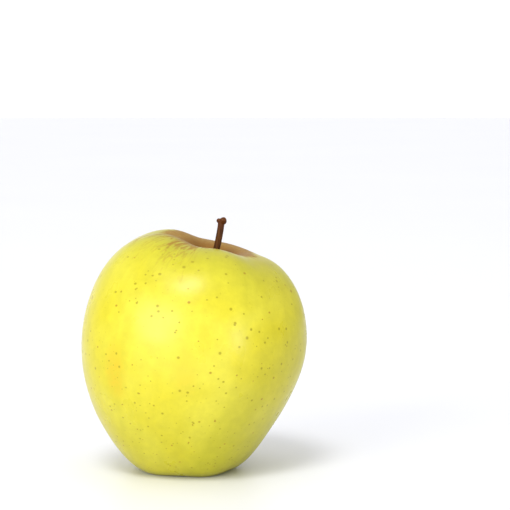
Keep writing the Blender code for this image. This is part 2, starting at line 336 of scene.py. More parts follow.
class StageSettings(bpy.types.PropertyGroup):
    """A white floor, a bright even surround, soft boxes, and the camera at the picture's viewing angle."""

    camera: place("Camera", "Where the camera stands", (0.02086, -0.72500, 0.14305))
    camera_pitch: angle("Camera pitch", "How far the camera looks down", 5.43)
    camera_lens: plain("Camera lens", "Focal length in millimetres, on a 36 mm sensor", 150.0)
    floor_size: length("Floor size", "Width of the floor", 8.0)
    floor_colour: colour("Floor", "The white of the floor, a little blue", "#ECEDF3")
    key_place: place("Key place", "Middle of the large soft box", (-1.12, -1.52, 0.66))
    key_size: length("Key size", "Width of the large soft box", 1.00)
    key_power: plain("Key power", "Power of the large soft box, in watts", 19.0)
    window_place: place("Window place", "Middle of the small soft box", (1.05, -0.95, 0.16))
    window_size: length("Window size", "Width of the small soft box", 0.34)
    window_power: plain("Window power", "Power of the small soft box, in watts", 3.2)
    overhead_strength: plain("Overhead strength", "Strength of the wide light from overhead", 1.25)
    overhead_width: angle("Overhead width", "Width of the wide light from overhead, as an angle", 18.0)
    overhead_tilt: angle("Overhead tilt", "How far that light comes from the front", 30.0)
    overhead_side: angle("Overhead side", "How far that light comes from the left", 10.0)
    surround_back: plain("Surround back", "Brightness of the surround behind the fruit", 1.3)
    surround_back_high: plain("Surround back high", "Its brightness behind the fruit, high up", 0.7)
    surround_back_right: plain("Surround back right", "Its brightness behind the fruit on the right", 0.34)
    surround_front: plain("Surround front", "Brightness of the surround behind the camera", 0.88)
    surround_left: plain("Surround left", "Brightness of the surround on the left", 0.40)
    surround_right: plain("Surround right", "Brightness of the surround on the right", 0.28)
    surround_above: plain("Surround above", "Brightness of the surround overhead", 1.06)


def feed(tree, socket, value):
    """Fills a socket with a value, another socket or a node's first output, or with a list of those."""
    for item in value if isinstance(value, list) else [value]:
        if isinstance(item, bpy.types.Node):
            item = next(output for output in item.outputs if output.enabled)
        if isinstance(item, bpy.types.NodeSocket):
            tree.links.new(item, socket)
        elif item is not None:
            socket.default_value = item


def add_node(tree, kind, *values, inputs=None, **settings):
    """Adds a node with its settings and its inputs. A second word after its kind sets its mode.

    The values fill the inputs that are in use in their order, and None skips one. The inputs argument gives
    more by name.
    """
    kind, _, mode = kind.partition(" ")
    start = next(start for start in KIND_STARTS if hasattr(bpy.types, start + kind))
    node = tree.nodes.new(start + kind)
    if mode:
        settings[MODES[kind]] = mode
    for name, value in settings.items():
        setattr(node, name, value)
    for socket, value in zip([socket for socket in node.inputs if socket.enabled], values):
        feed(tree, socket, value)
    for name, value in (inputs or {}).items():
        feed(tree, node.inputs[name], value)
    return node


def labelled(group, **more):
    """A property group's values by their labels, with an entry for each item of a list of lobes."""
    sizes = dict(more)
    for prop in group.bl_rna.properties:
        if prop.identifier in {"rna_type", "name"}:
            continue
        value = getattr(group, prop.identifier)
        if getattr(prop, "array_length", 0) == LOBES:
            sizes.update({f"{prop.name} {number}": size for number, size in enumerate(value)})
        elif getattr(prop, "array_length", 0) == 3:
            sizes[prop.name] = Vector(value)
        else:
            sizes[prop.name] = value
    return sizes


def new_tree(name, sizes):
    """A Geometry Nodes tree with a named input for each size, its inputs, and a function that adds nodes."""
    tree = bpy.data.node_groups.new(name, "GeometryNodeTree")
    tree.is_modifier = True
    tree.interface.new_socket("Geometry", in_out="INPUT", socket_type="NodeSocketGeometry")
    tree.interface.new_socket("Geometry", in_out="OUTPUT", socket_type="NodeSocketGeometry")
    for label, value in sizes.items():
        tree.interface.new_socket(label, in_out="INPUT", socket_type=SOCKET_KINDS[type(value)])
    given = tree.nodes.new("NodeGroupInput").outputs
    return tree, given, functools.partial(add_node, tree)


def add_tree(obj, tree, sizes):
    """Puts the tree on the object as a modifier and sets the tree's inputs by their identifiers."""
    modifier = obj.modifiers.new(tree.name, "NODES")
    modifier.node_group = tree
    for item in tree.interface.items_tree:
        if item.in_out == "INPUT" and item.name in sizes:
            modifier[item.identifier] = sizes[item.name]


def end_tree(tree, given, add, geometry):
    """Ends a tree with plain geometry, shaded smooth and in the piece's material, and returns the tree."""
    smooth = add("SetShadeSmooth", add("RealizeInstances", geometry), None, True)
    add("GroupOutput", add("SetMaterial", smooth, None, given["Material"]))
    return tree


def uneven(add, where, seed, width, detail, height, roughness=0.5):
    """Heights of a noise of this width, half of them under zero."""
    noise = add("TexNoise 4D", where, seed, add("Math DIVIDE", 1.0, width), detail, roughness)
    return add("Math MULTIPLY", add("Math SUBTRACT", noise, 0.5), height)


def push_out(add, geometry, heights):
    """Moves the geometry's points along their normals by these heights."""
    offset = add("VectorMath SCALE", add("InputNormal"), heights)
    return add("SetPosition", geometry, None, None, offset)


def new_object(name, data=None):
    """An object at the origin, in the scene's own collection."""
    obj = bpy.data.objects.new(name, data or bpy.data.meshes.new(name))
    bpy.context.scene.collection.objects.link(obj)
    return obj


def make_plain(obj, material):
    """Keeps what the object's modifiers make as its own plain mesh in one material, without the modifiers."""
    graph = bpy.context.evaluated_depsgraph_get()
    mesh = bpy.data.meshes.new_from_object(
        obj.evaluated_get(graph), preserve_all_data_layers=True, depsgraph=graph
    )
    obj.modifiers.clear()
    mesh.materials.clear()
    mesh.materials.append(material)
    mesh.polygons.foreach_set("material_index", [0] * len(mesh.polygons))
    obj.data = mesh
    mesh.name = obj.name


def new_material(name):
    """A material with a Principled shader, and a function that adds nodes to it."""
    material = bpy.data.materials.new(name)
    material.use_nodes = True
    return material, functools.partial(add_node, material.node_tree)


def fill_shader(material, sockets):
    """Fills the material's shader by the names of its sockets, and returns the material."""
    tree = material.node_tree
    for name, value in sockets.items():
        feed(tree, tree.nodes["Principled BSDF"].inputs[name], value)
    return material


def axis_point(fruit, height):
    """The point at this height of the section on the fruit's leaning axis."""
    along = height / fruit.shoulder_height
    lean = fruit.lean * height - fruit.bow * math.sin(math.pi * along)
    return Vector((fruit.stand_x + lean, fruit.stand_y, height - fruit.resting_flat))


def turned_from(direction, offset):
    """How far the offset point lies to the side of a line through the start in this direction."""
    return abs(direction.x * offset.y - direction.y * offset.x)


def reaches(start, leave, start_bend, end, arrive, end_bend):
    """The two handle lengths of a Bezier stretch whose bend radius is the given one at each end."""
    start_reach = 0.35 * (end - start).length
    end_reach = start_reach
    for _ in range(HANDLE_ROUNDS):
        start_side = turned_from(leave, end - arrive * end_reach - start)
        end_side = turned_from(arrive, start + leave * start_reach - end)
        start_reach = 0.5 * (start_reach + math.sqrt(start_bend * start_side * 2.0 / 3.0))
        end_reach = 0.5 * (end_reach + math.sqrt(end_bend * end_side * 2.0 / 3.0))
    return start_reach, end_reach


def section_curve(fruit):
    """The fruit's half section as a Bezier curve, from the cavity's floor round to the basin's roof."""
    out = Vector((1.0, 0.0))
    down = Vector((0.0, -1.0))
    flank = Vector((-math.cos(fruit.flank_slope), -math.sin(fruit.flank_slope)))
    half_flat = 0.5 * fruit.foot_flat
    places = (
        (Vector((0.0, fruit.shoulder_height - fruit.cavity_depth)), out, fruit.cavity_bend),
        (Vector((fruit.shoulder_radius, fruit.shoulder_height)), out, fruit.shoulder_bend),
        (Vector((fruit.widest_radius, fruit.widest_height)), down, fruit.widest_bend),
        (Vector((fruit.flank_radius, fruit.flank_height)), flank, fruit.flank_bend),
        (Vector((fruit.foot_radius + half_flat, 0.0)), -out, fruit.foot_bend),
        (Vector((fruit.foot_radius - half_flat, 0.0)), -out, fruit.foot_bend),
        (Vector((0.0, fruit.basin_depth)), -out, fruit.basin_bend),
    )
    curve = bpy.data.curves.new("half_section", "CURVE")
    curve.dimensions = "3D"
    curve.resolution_u = SECTION_STEPS
    spline = curve.splines.new("BEZIER")
    spline.bezier_points.add(len(places) - 1)
    for point, (middle, *_) in zip(spline.bezier_points, places):
        point.handle_left_type = point.handle_right_type = "FREE"
        point.co = point.handle_left = point.handle_right = (middle.x, 0.0, middle.y)
    for number, (first, second) in enumerate(zip(places, places[1:])):
        start_reach, end_reach = reaches(*first, *second)
        leaving = first[0] + first[1] * start_reach
        arriving = second[0] - second[1] * end_reach
        spline.bezier_points[number].handle_right = (leaving.x, 0.0, leaving.y)
        spline.bezier_points[number + 1].handle_left = (arriving.x, 0.0, arriving.y)
    return new_object("half_section", curve)


def fruit_tree(sizes):
    """Turns the half section into the fruit: a grid along the section and round the axis, made uneven."""
    tree, given, add = new_tree("fruit_from_section", sizes)

    columns = add("Math ADD", given["Rings"], 1.0)
    rows = add("Math ADD", given["Sides"], 1.0)
    grid = add("MeshGrid", 1.0, 1.0, columns, rows)
    across = add("SeparateXYZ", add("InputPosition"))
    along = add("Math ADD", across.outputs["X"], 0.5)
    around = add("Math MULTIPLY_ADD", across.outputs["Y"], math.tau, math.pi)
    section = add("GeometryNodeObjectInfo", given["Section"])
    sampled = add("SampleCurve FACTOR", section.outputs["Geometry"], None, along, use_all_curves=True)
    on_section = add("SeparateXYZ", sampled.outputs["Position"])
    radius = on_section.outputs["X"]
    height = on_section.outputs["Z"]

    # Shares of the height and of the radius that the uneven forms follow
    up = add("Math DIVIDE", height, given["Shoulder height"], use_clamp=True)
    below = add("Math SUBTRACT", 1.0, up)
    off_axis = add("MapRange SMOOTHSTEP", radius, 0.0, given["Lobes full from"], 0.0, 1.0)
    high = add("MapRange SMOOTHSTEP", height, given["Drop starts at"], given["Shoulder height"], 0.0, 1.0)

    # How near each point is to the line of its nearest lobe, and how far that lobe stands out
    lobe_line = add("Math MULTIPLY_ADD", up, given["Lobe twist"], given["Front lobe at"])
    from_line = add("Math SUBTRACT", around, lobe_line)
    turned = add("Math MULTIPLY", from_line, LOBES / math.tau)
    nearest = add("Math ROUND", turned)
    from_lobe = add("Math SUBTRACT", turned, nearest)
    wave = add("Math COSINE", add("Math MULTIPLY", from_lobe, math.tau))
    rise = add("Math MULTIPLY_ADD", wave, 0.5, 0.5)
    number = add("Math FLOORED_MODULO", nearest, float(LOBES))
    lobes = {}
    for name in ("Foot lobe", "Shoulder lobe", "Crest lobe"):
        chosen = add("IndexSwitch FLOAT", number)
        for _ in range(LOBES - len(chosen.index_switch_items)):
            chosen.index_switch_items.new()
        for index in range(LOBES):
            tree.links.new(given[f"{name} {index}"], chosen.inputs[str(index)])
        lobes[name] = add("Math MULTIPLY", add("Math MULTIPLY", chosen, rise), off_axis)

    low_lobe = add("Math MULTIPLY", lobes["Foot lobe"], add("Math POWER", below, 2.0))
    wide = add("Math MULTIPLY_ADD", lobes["Shoulder lobe"], up, radius)
    wide = add("Math ADD", wide, low_lobe)
    x = add("Math MULTIPLY", wide, add("Math COSINE", around))
    y = add("Math MULTIPLY", wide, add("Math SINE", around))

    # Heights: the crest rises over the lobes, the foot is notched between them, and the shoulders drop
    crest = add("Math MULTIPLY", lobes["Crest lobe"], add("Math POWER", high, 4.0))
    between = add("Math MULTIPLY", add("Math SUBTRACT", 1.0, rise), off_axis)
    notch = add("Math MULTIPLY", between, add("Math POWER", below, 8.0))
    notch = add("Math MULTIPLY", notch, given["Foot notch"])
    back_rise = add("Math MULTIPLY", y, given["Shoulder back rise"])
    side_drop = add("Math MULTIPLY", x, given["Shoulder drop"])
    drop = add("Math MULTIPLY", add("Math SUBTRACT", back_rise, side_drop), high)
    z = add("Math ADD", add("Math SUBTRACT", height, given["Resting flat"]), drop)
    z = add("Math ADD", add("Math ADD", z, crest), notch)
    z = add("Math MAXIMUM", z, 0.0)

    # The whole fruit leans and bows
    bowed = add("Math SINE", add("Math MULTIPLY", up, math.pi))
    bowed = add("Math MULTIPLY", bowed, given["Bow"])
    leaned = add("Math MULTIPLY_ADD", height, given["Lean"], given["Stand x"])
    x = add("Math ADD", x, add("Math SUBTRACT", leaned, bowed))
    y = add("Math ADD", y, given["Stand y"])
    formed = add("SetPosition", grid, None, add("CombineXYZ", x, y, z))
    closed = add("MergeByDistance", formed, None, SAME_POINT)

    # The swells and ripples fade out towards the floor, so that the fruit stands as the solid does
    here = add("InputPosition")
    swells, ripples = (
        uneven(add, here, given["Swells seed"], given[f"{name} width"], 1.0, given[f"{name} height"], 0.4)
        for name in ("Swell", "Ripple")
    )
    over_floor = add("SeparateXYZ", here).outputs["Z"]
    fade = add("MapRange SMOOTHSTEP", over_floor, 0.0, given["Swells full from"], 0.0, 1.0)
    swelling = add("Math MULTIPLY", add("Math ADD", swells, ripples), fade)
    return end_tree(tree, given, add, push_out(add, closed, swelling))


def pore_tree(sizes):
    """Scatters low lenses over the skin. Each knows how deep in its soft edge a point of it is."""
    tree, given, add = new_tree("pores_on_skin", sizes)

    here = add("SeparateXYZ", add("InputPosition"))
    height = here.outputs["Z"]
    flat_place = add("CombineXYZ", here.outputs["X"], here.outputs["Y"], 0.0)
    from_axis = add("VectorMath DISTANCE", flat_place, given["Axis"])
    clear = add("MapRange SMOOTHSTEP", from_axis, given["Clear radius"], given["Full radius"], 0.0, 1.0)
    density = add(
        "MapRange SMOOTHSTEP", height, given["Low height"], given["High height"],
        given["Density low down"], given["Density high up"],
    )
    foot_full = add("Math MULTIPLY", given["Foot clear"], 2.0)
    off_foot = add("MapRange", height, given["Foot clear"], foot_full, 0.0, 1.0)
    density = add("Math MULTIPLY", add("Math MULTIPLY", density, clear), off_foot)
    scattered = add("DistributePointsOnFaces", given["Geometry"], None, density, given["Seed"])

    # A lens of radius and height one. Its points know how far they are inside its edge
    lens_rings = 3
    lens = add("MeshCone NONE", given["Pore sides"], lens_rings, 1, 0.0, 1.0, 1.0)
    on_lens = add("SeparateXYZ", add("InputPosition"))
    flat_lens = add("CombineXYZ", on_lens.outputs["X"], on_lens.outputs["Y"], 0.0)
    from_middle = add("VectorMath LENGTH", flat_lens)
    dome = add("Math SUBTRACT", 1.0, add("Math POWER", from_middle, 2.0))
    lens_place = add("CombineXYZ", on_lens.outputs["X"], on_lens.outputs["Y"], dome)
    inwards = add("Math SUBTRACT", 1.0, from_middle, use_clamp=True)
    lens = add("StoreNamedAttribute", lens, None, "pore_depth", inwards)
    lens = add("SetPosition", lens, None, lens_place)

    # Small pores are more frequent than large ones, and none is quite round
    chance = add("RandomValue", 0.0, 1.0, None, given["Seed"])
    larger = add("Math POWER", chance, 1.4)
    size = add("MapRange", larger, 0.0, 1.0, given["Smallest radius"], given["Largest radius"])
    small_low = add(
        "MapRange", height, given["Low height"], given["High height"], given["Size low down"], 1.0
    )
    size = add("Math MULTIPLY", size, small_low)
    other_seed = add("Math ADD", given["Seed"], 1.0)
    slimmer = add("RandomValue", 0.75, 1.0, None, other_seed)
    slim_size = add("Math MULTIPLY", size, slimmer)
    scale = add("CombineXYZ", size, slim_size, given["Proud"])
    placed = add(
        "InstanceOnPoints", scattered, None, lens, None, None, scattered.outputs["Rotation"], scale
    )
    third_seed = add("Math ADD", given["Seed"], 2.0)
    tone = add("RandomValue", 0.0, 1.0, None, third_seed)
    toned = add("StoreNamedAttribute", placed, None, "pore_tone", tone, domain="INSTANCE")
    return end_tree(tree, given, add, toned)


def stem_form_tree(sizes):
    """The stem's tube along its bend, with the knob, the bud and the scar's rim, not yet one skin."""
    tree, given, add = new_tree("stem_form", sizes)

    # The tube, thicker at both ends
    steps = 40
    sides = 28
    end = given["End"]
    end_handle = add("VectorMath ADD", end, given["End pull"])
    line = add("CurvePrimitiveBezierSegment", steps, (0.0, 0.0, 0.0), given["Rise"], end_handle, end)
    along = add("SplineParameter")
    root_flare = add("MapRange SMOOTHSTEP", along, 0.0, given["Root flare ends"], given["Root flare"], 0.0)
    end_flare = add("MapRange SMOOTHSTEP", along, given["End flare starts"], 1.0, 0.0, given["End flare"])
    thick = add("Math ADD", add("Math ADD", root_flare, end_flare), 1.0)
    thick = add("Math MULTIPLY", thick, given["Stem radius"])
    ring = add("CurvePrimitiveCircle", sides, inputs={"Radius": 1.0})
    tube = add("CurveToMesh", line, ring, thick, True)

    # The two balls at its end, and the scar's rim on the outer side of the larger one
    parts = [tube]
    ball_sides = 24
    ball_rings = 16
    rim_steps = 24
    rim_sides = 10
    for name in ("Knob", "Bud"):
        middle = add("VectorMath ADD", end, given[f"{name} offset"])
        ball = add("MeshUVSphere", ball_sides, ball_rings, given[f"{name} radius"])
        parts.append(add("Transform", ball, middle))
    rim = add(
        "CurveToMesh",
        add("CurvePrimitiveCircle", rim_steps, inputs={"Radius": given["Scar radius"]}),
        add("CurvePrimitiveCircle", rim_sides, inputs={"Radius": given["Scar rim"]}),
        1.0,
    )
    scar_middle = add("VectorMath ADD", end, given["Scar offset"])
    facing = add("VectorMath SUBTRACT", given["Scar offset"], given["Knob offset"])
    turned = add("AxesToRotation", facing, (0.0, 1.0, 0.0), primary_axis="Z", secondary_axis="X")
    parts.append(add("Transform", rim, scar_middle, turned))
    joined = add("JoinGeometry", parts)
    moved = add("Transform", joined, given["Root place"])
    return end_tree(tree, given, add, moved)


def bark_tree(sizes):
    """Ridges along the stem and fine wrinkles on it."""
    tree, given, add = new_tree("stem_bark", sizes)

    here = add("InputPosition")
    along_the_stem = (1.0, 1.0, 0.10)
    drawn_out = add("VectorMath MULTIPLY", here, along_the_stem)
    ridges = uneven(add, drawn_out, given["Bark seed"], given["Ridge width"], 1.0, given["Ridge height"])
    wrinkle_width = add("Math DIVIDE", given["Ridge width"], 2.2)
    wrinkles = uneven(add, here, given["Bark seed"], wrinkle_width, 2.0, given["Wrinkle height"])
    return end_tree(tree, given, add, push_out(add, given["Geometry"], add("Math ADD", wrinkles, ridges)))


def calyx_tree(sizes):
    """A low cup, five crumpled sepals that bend in over it, and a tuft of dried stamens."""
    tree, given, add = new_tree("dry_calyx", sizes)

    # A sepal: a grid that is bent down and creased along its middle
    points_along = 15
    points_across = 7
    leaf = add("MeshGrid", 1.0, 1.0, points_along, points_across)
    on_grid = add("SeparateXYZ", add("InputPosition"))
    along = add("Math ADD", on_grid.outputs["X"], 0.5)
    turn = add("Math MULTIPLY_ADD", along, given["Sepal curl"], given["Sepal start"])
    bend_radius = add("Math DIVIDE", given["Sepal length"], given["Sepal curl"])
    start_cosine = add("Math COSINE", given["Sepal start"])
    start_sine = add("Math SINE", given["Sepal start"])
    inwards = add("Math SUBTRACT", start_cosine, add("Math COSINE", turn))
    inwards = add("Math MULTIPLY", inwards, bend_radius)
    down = add("Math SUBTRACT", add("Math SINE", turn), start_sine)
    down = add("Math MULTIPLY", down, bend_radius)
    taper = add("Math POWER", add("Math SUBTRACT", 1.0, along, use_clamp=True), 0.7)
    tip_width = 0.0001
    wide = add("Math MULTIPLY_ADD", taper, given["Sepal width"], tip_width)
    side = add("Math MULTIPLY", on_grid.outputs["Y"], wide)
    aside = add("Math MULTIPLY", add("Math ABSOLUTE", on_grid.outputs["Y"]), 2.0)
    creased = add("Math MULTIPLY", aside, given["Crease"])
    creased = add("Math MULTIPLY", creased, taper)
    radial = add("Math SUBTRACT", given["Sepal root"], inwards)
    radial = add("Math SUBTRACT", radial, creased)
    leaf_place = add("CombineXYZ", radial, side, add("Math SUBTRACT", 0.0, down))
    leaf = add("SetPosition", leaf, None, leaf_place)

    # Five of them, each turned outwards from the middle
    line = add("MeshCircle", LOBES, 0.001)
    outwards = add("InputPosition")
    out_turn = add("AxesToRotation", outwards, (0.0, 0.0, 1.0), primary_axis="X", secondary_axis="Z")
    at_middle = add("SetPosition", line, None, (0.0, 0.0, 0.0))
    turned_ring = add("CaptureAttribute", line)
    turned_ring.capture_items.new("ROTATION", "Turn")
    tree.links.new(out_turn.outputs[0], turned_ring.inputs["Turn"])
    tree.links.new(turned_ring.outputs["Geometry"], at_middle.inputs["Geometry"])
    size = add("RandomValue", 0.86, 1.0, None, given["Crumple seed"])
    sepals = add("InstanceOnPoints", at_middle, None, leaf, None, None, turned_ring.outputs["Turn"], size)
    sepals = add("RealizeInstances", sepals)
    here = add("InputPosition")
    crumpled = uneven(add, here, given["Crumple seed"], given["Crumple width"], 2.0, given["Crumple"])
    sepals = push_out(add, sepals, crumpled)
    raised = add("ExtrudeMesh", sepals, None, None, given["Sepal thickness"], False)
    under = add("FlipFaces", sepals)
    sepals = add("JoinGeometry", [raised, under])
    sepals = add("MergeByDistance", sepals, None, SAME_LEAF_POINT)

    # The cup that they grow from
    cup_sides = 28
    cup_rings = 3
    disc_rings = 2
    half_thick = add("Math MULTIPLY", given["Cup thickness"], -0.5)
    cup_sizes = [given[name] for name in ("Cup top radius", "Cup radius", "Cup thickness")]
    cup = add("MeshCone TRIANGLE_FAN", cup_sides, cup_rings, disc_rings, *cup_sizes)
    cup = add("Transform", cup, add("CombineXYZ", 0.0, 0.0, half_thick))

    # The stamens: bent threads with a thicker tip
    thread_steps = 8
    thread_sides = 6
    hang = add("Math MULTIPLY", given["Stamen length"], -1.0)
    bend = add("Math MULTIPLY", given["Stamen length"], 0.22)
    thread = add(
        "CurvePrimitiveBezierSegment", thread_steps, (0.0, 0.0, 0.0),
        add("CombineXYZ", bend, 0.0, add("Math MULTIPLY", hang, 0.35)),
        add("CombineXYZ", bend, 0.0, add("Math MULTIPLY", hang, 0.75)),
        add("CombineXYZ", 0.0, 0.0, hang),
    )
    tip = add("MapRange", add("SplineParameter"), 0.82, 0.95, 1.0, 2.2)
    thread_radius = add("Math MULTIPLY", tip, given["Stamen radius"])
    thread_ring = add("CurvePrimitiveCircle", thread_sides, inputs={"Radius": 1.0})
    thread = add("CurveToMesh", thread, thread_ring, thread_radius, True)
    ring = add("MeshCircle", given["Stamens"], given["Stamen ring"])
    spin_most = Vector((0.22, 0.22, math.tau))
    spin = add("RandomValue FLOAT_VECTOR", -spin_most, spin_most, None, given["Crumple seed"])
    spun = add("EulerToRotation", spin)
    grown = add("RandomValue", 0.65, 1.0, None, given["Crumple seed"])
    tuft = add("InstanceOnPoints", ring, None, thread, None, None, spun, grown)

    joined = add("JoinGeometry", [sepals, cup, tuft])
    moved = add("Transform", joined, given["Cup place"])
    return end_tree(tree, given, add, moved)


def skin_material(finish, fruit):
    """Skin of a ripe fruit: a thin natural wax over coloured skin, with corky russet round the stem.

    The wax gives broad soft highlights and a pale rim at a grazing angle. The russet is matt and rough.
    """
    material, add = new_material("waxy_fruit_skin")
    here = add("TexCoord").outputs["Object"]
    height = add("SeparateXYZ", here).outputs["Z"]

    # The cavity's own frame: its middle at the stem's root, its axis leaning as the fruit does there
    root = axis_point(fruit, fruit.shoulder_height - fruit.cavity_depth)
    crest = axis_point(fruit, fruit.shoulder_height)
    lean = math.atan2(crest.x - root.x, crest.z - root.z)
    in_cavity = add("Mapping TEXTURE", here, root, (0.0, lean, 0.0), (1.0, 1.0, 1.0))
    flat = add("VectorMath MULTIPLY", in_cavity, (1.0, 1.0, 0.0))
    from_stem = add("VectorMath LENGTH", flat)
    heading = add("VectorMath NORMALIZE", flat)

    # Ripeness: broad patches, greener near the stem and the foot
    patches = add("TexNoise", here, 1.0 / finish.patch_width, 2.0, 0.5, inputs={"Distortion": 0.4})
    patches = add("MapRange SMOOTHSTEP", patches, 0.34, 0.66, 0.0, 1.0)
    skin = add("Mix RGBA", patches, finish.ripe, finish.pale)
    near_top = add("MapRange SMOOTHSTEP", from_stem, 0.042, 0.016, 0.0, 0.95)
    on_top = add("MapRange SMOOTHSTEP", height, 0.052, 0.066, 0.0, 1.0)
    near_top = add("Math MULTIPLY", near_top, on_top)
    near_foot = add("MapRange SMOOTHSTEP", height, 0.034, 0.000, 0.0, 0.45)
    green_and_painted_shade = add("Math MAXIMUM", near_top, near_foot)

    # Painted shade: low down on the right the skin is painted darker and greener, where the light falls
    # dimmer
    towards_painted_shade = (0.8, 0.0, -0.6)
    painted_shade_side = add("VectorMath DOT_PRODUCT", here, towards_painted_shade)
    painted_shade_side = add("MapRange SMOOTHSTEP", painted_shade_side, -0.0135, 0.001, 0.0, 0.35)
    green_and_painted_shade = add("Math ADD", green_and_painted_shade, painted_shade_side)

    # Faint green lines run from top to foot
    streak_place = add("VectorMath MULTIPLY", heading, (5.0, 5.0, 5.0))
    long_streaks = add("TexNoise", streak_place, 1.6, 3.0, 0.6)
    long_streaks = add("MapRange", long_streaks, 0.35, 0.75, 0.0, 0.18)
    green_and_painted_shade = add("Math ADD", green_and_painted_shade, long_streaks, use_clamp=True)
    skin = add("Mix RGBA", green_and_painted_shade, skin, finish.unripe_and_painted_shade)

    # Fine mottling all over
    mottle = add("TexNoise", here, 1.0 / finish.mottle_width, 3.0, 0.6)
    blush_patches = add("MapRange", mottle, 0.35, 0.60, 0.35, 1.0)
    mottle = add("MapRange", mottle, 0.3, 0.7, 0.94, 1.05)
    skin = add("Mix RGBA", 1.0, skin, mottle, blend_type="MULTIPLY")

    # The blushes are drawn out upwards, and broken up by the mottling
    for middle, wide, strength in BLUSHES:
        from_blush = add("VectorMath MULTIPLY", add("VectorMath SUBTRACT", here, middle), (1.0, 1.0, 0.45))
        from_blush = add("VectorMath LENGTH", from_blush)
        blush = add("MapRange SMOOTHSTEP", from_blush, wide, 0.15 * wide, 0.0, strength)
        blush = add("Math MULTIPLY", blush, blush_patches)
        skin = add("Mix RGBA", blush, skin, finish.blush)

    # The faintest pores, too fine for a mesh of their own
    specks = add("TexVoronoi", here, 1.0 / finish.speck_spacing)
    specks = add("MapRange SMOOTHSTEP", specks, 0.10, 0.05, 0.0, 0.45)
    skin = add("Mix RGBA", specks, skin, finish.pore)

    # Pores with a mesh of their own: the skin's colour at their edge, the pore's in the middle
    depth = add("Attribute", attribute_name="pore_depth").outputs["Fac"]
    tone = add("Attribute", attribute_name="pore_tone").outputs["Fac"]
    pore_inside = add("MapRange SMOOTHSTEP", depth, 0.08, 0.62, 0.0, 0.80)
    warm = add("MapRange", tone, 0.7, 0.95, 0.0, 1.0)
    pore = add("Mix RGBA", warm, finish.pore, finish.pore_warm)
    skin = add("Mix RGBA", pore_inside, skin, pore)

    # Russet: whole round the stem and further out behind it, with a torn edge that runs on to the front left
    towards_back = (-0.50, 0.87, 0.0)
    towards_left = (-0.80, -0.60, 0.0)
    towards_lines = (-0.62, -0.785, 0.0)
    back_share = add("VectorMath DOT_PRODUCT", heading, towards_back)
    edge = add("MapRange SMOOTHSTEP", back_share, -0.50, 0.50, finish.russet_front, finish.russet_back)
    left_share = add("VectorMath DOT_PRODUCT", heading, towards_left)
    run_on = add("MapRange SMOOTHSTEP", left_share, 0.66, 0.96, finish.russet_fringe, finish.russet_left)
    beyond = add("Math SUBTRACT", from_stem, edge)
    beyond_share = add("Math DIVIDE", beyond, run_on)
    round_place = add("VectorMath MULTIPLY", heading, (7.0, 7.0, 7.0))
    drift = add("VectorMath MULTIPLY", in_cavity, (70.0, 70.0, 70.0))
    round_place = add("VectorMath ADD", round_place, drift)
    tongues = add("TexNoise 4D", round_place, 2.4, 1.6, 4.0, 0.70)
    tongues = add("MapRange", tongues, 0.39, 0.66, 0.0, 1.0)
    torn = add("Math SUBTRACT", tongues, beyond_share)
    russet = add("MapRange SMOOTHSTEP", torn, -0.10, 0.50, 0.0, 0.90)

    # Thin curved lines run on over the skin: where a noise that is drawn out from the stem crosses its middle
    line_place = add("VectorMath MULTIPLY", heading, (10.0, 10.0, 10.0))
    line_drift = add("VectorMath MULTIPLY", in_cavity, (110.0, 110.0, 110.0))
    line_place = add("VectorMath ADD", line_place, line_drift)
    lines = add("TexNoise", line_place, 1.0, 2.0, 0.6)
    lines = add("Math ABSOLUTE", add("Math SUBTRACT", lines, 0.5))
    lines = add("MapRange", lines, 0.01, 0.06, 1.0, 0.0)
    line_share = add("VectorMath DOT_PRODUCT", heading, towards_lines)
    line_side = add("MapRange SMOOTHSTEP", line_share, 0.84, 0.98, 0.0, 0.80)
    line_end = add("Math MULTIPLY", finish.line_reach, add("Math MULTIPLY_ADD", tongues, 0.7, 0.6))
    line_fade = add("MapRange", add("Math DIVIDE", beyond, line_end), 0.35, 1.0, 1.0, 0.0)
    lines = add("Math MULTIPLY", add("Math MULTIPLY", lines, line_side), line_fade)
    russet = add("Math MULTIPLY", add("Math MAXIMUM", russet, lines), on_top)

    # A thin film of the same cork, too thin to be rough, lies on the skin past the russet, most on the right.
    # On the right it is also a painted reflection of the surroundings
    film_and_painted_reflection = add("MapRange SMOOTHSTEP", beyond, 0.0, 0.014, 0.60, 0.0)
    towards_film_and_reflection = (0.85, 0.53, 0.0)
    film_and_reflection_side = add("VectorMath DOT_PRODUCT", heading, towards_film_and_reflection)
    film_and_reflection_side = add("MapRange", film_and_reflection_side, -0.5, 0.6, 0.45, 1.0)
    film_and_reflection_patches = add("MapRange", tongues, 0.1, 0.8, 0.35, 1.0)
    film_and_painted_reflection = add("Math MULTIPLY", add("Math MULTIPLY", film_and_painted_reflection, film_and_reflection_side), film_and_reflection_patches)
    film_and_painted_reflection = add("Math MULTIPLY", film_and_painted_reflection, on_top)
    skin = add("Mix RGBA", film_and_painted_reflection, skin, finish.film_and_painted_reflection)

    # The cork itself: grained, darker in rays, and thin at its edge. It is also painted darker deep in the
    # cavity, which is painted shade
    cork_grain = 0.0009
    grain = add("TexNoise", here, 1.0 / cork_grain, 4.0, 0.65)
    grain = add("MapRange", grain, 0.35, 0.7, 0.0, 0.7)
    cork = add("Mix RGBA", grain, finish.russet, finish.russet_dark)
    deep_shade_and_rays = add("MapRange SMOOTHSTEP", from_stem, 0.0150, 0.0080, 0.0, 0.85)
    rays = add("MapRange", tongues, 0.25, 0.75, 0.45, 0.0)
    deep_shade_and_rays = add("Math MAXIMUM", deep_shade_and_rays, rays)
    cork = add("Mix RGBA", deep_shade_and_rays, cork, finish.russet_dark)
    thin = add("MapRange SMOOTHSTEP", beyond, -0.001, 0.004, 0.0, 1.0)
    cork = add("Mix RGBA", thin, cork, finish.streak)
    skin = add("Mix RGBA", russet, skin, cork)

